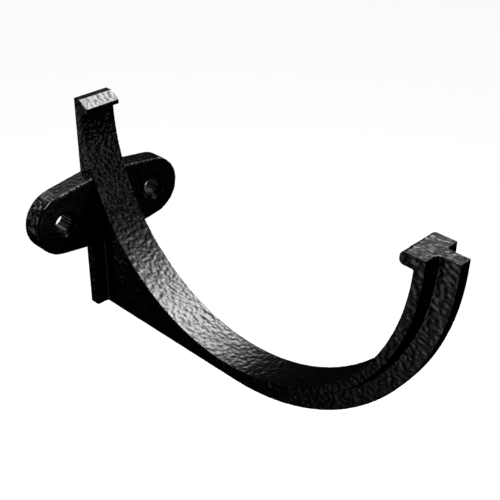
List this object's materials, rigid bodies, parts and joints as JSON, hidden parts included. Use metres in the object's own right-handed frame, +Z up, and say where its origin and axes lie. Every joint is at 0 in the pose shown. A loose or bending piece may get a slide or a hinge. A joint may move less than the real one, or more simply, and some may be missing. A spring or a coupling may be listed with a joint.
{
  "type": "gutter bracket",
  "caption": "Fascia bracket for a half-round gutter: T-section arm, rear snap hook, front nose and two screw ears, textured black.",
  "frame": {"origin": "on the fascia plane, midway between the two screw holes", "axes": "+X out from the fascia, +Y along the gutter, +Z up"},
  "size_m": [0.1264, 0.053, 0.0701],
  "materials": {
    "cast_body": "textured satin black coating on a casting"
  },
  "bodies": {
    "root": {"gutter_bracket": "cast_body"}
  },
  "joints": []
}
